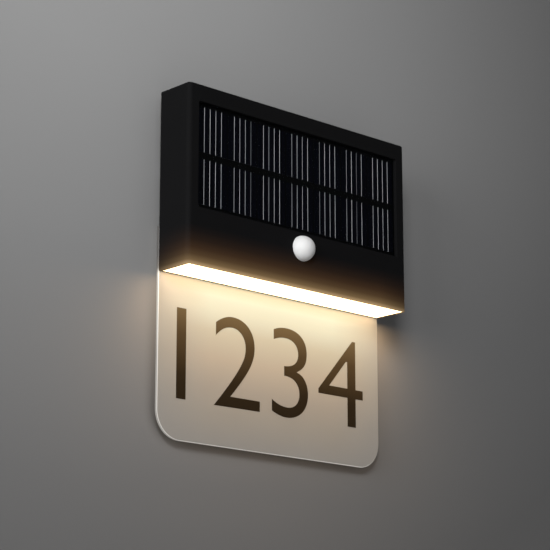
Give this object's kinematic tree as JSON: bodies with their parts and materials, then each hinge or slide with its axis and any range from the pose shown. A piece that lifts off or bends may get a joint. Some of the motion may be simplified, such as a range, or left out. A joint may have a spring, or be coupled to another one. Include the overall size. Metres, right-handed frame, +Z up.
{
  "type": "illuminated house number sign",
  "caption": "Wall-hung solar house number light: black housing with solar panel and motion sensor, lit lower edge and a hanging frosted number plate.",
  "frame": {"origin": "on the rear face of the hanging pad, midway between the seats of the two keyholes", "axes": "+Z up, +Y into the wall so that the solar panel looks along -Y, +X to the right of someone facing the sign"},
  "size_m": [0.18, 0.0394, 0.206],
  "materials": {
    "housing_black": "fine satin grain, moulded ABS",
    "cover_black": "satin moulded ABS",
    "seal_rubber": "silicone",
    "clear_laminate": "clear resin laminate, gloss",
    "silicon": "blue-black monocrystalline silicon",
    "silver_ribbon": "tinned silver ribbon",
    "panel_board": "black board",
    "foam_tape": "white foam tape",
    "lens_white": "milky polyethylene",
    "hood_white": "white plastic",
    "can_steel": "nickel-plated can",
    "circuit_green": "solder-masked glass epoxy",
    "component_black": "moulded packages",
    "connector_white": "natural nylon",
    "button_black": "satin moulded plastic",
    "strip_white": "white solder mask",
    "led_phosphor": "yellow phosphor",
    "reflector_white": "white film",
    "diffuser_milk": "milky polycarbonate, lit warm white",
    "holder_black": "black plastic",
    "battery_wrap": "shrink-wrapped cell",
    "contact_nickel": "nickel-plated",
    "lead_red": "red insulation",
    "lead_black": "black insulation",
    "plate_acrylic": "frosted milky acrylic, polished edges",
    "washer_nylon": "natural nylon",
    "screw_steel": "zinc-plated"
  },
  "bodies": {
    "sign": {"front_housing": "housing_black", "rear_cover": "cover_black", "cover_gasket": "seal_rubber", "cover_screws": "screw_steel", "solar_laminate": "clear_laminate", "solar_cells": "silicon", "cell_fingers": "silver_ribbon", "solar_board": "panel_board", "panel_tape": "foam_tape", "sensor_lens": "lens_white", "sensor_hood": "hood_white", "motion_sensor": "can_steel", "main_board": "circuit_green", "board_components": "component_black", "board_connectors": "connector_white", "board_screws": "screw_steel", "switch_body": "component_black", "button_seal": "seal_rubber", "light_strip": "strip_white", "light_leds": "led_phosphor", "light_reflector": "reflector_white", "light_diffuser": "diffuser_milk", "strip_screws": "screw_steel", "battery_holder": "holder_black", "battery_cell": "battery_wrap", "contact_plate": "contact_nickel", "contact_spring": "contact_nickel", "holder_screws": "screw_steel", "positive_leads": "lead_red", "negative_leads": "lead_black", "shelf_grommet": "seal_rubber", "number_plate": "plate_acrylic", "plate_washers": "washer_nylon", "plate_screws": "screw_steel"},
    "button": {"mode_button": "button_black", "switch_plunger": "button_black"}
  },
  "joints": [
    {"name": "mode_button_press", "type": "slide", "parent": "sign", "child": "button", "axis": [0, -1, 0], "range_m": [0, 0.0014], "stiffness_N_per_m": 900, "springref_m": -0.0006}
  ]
}
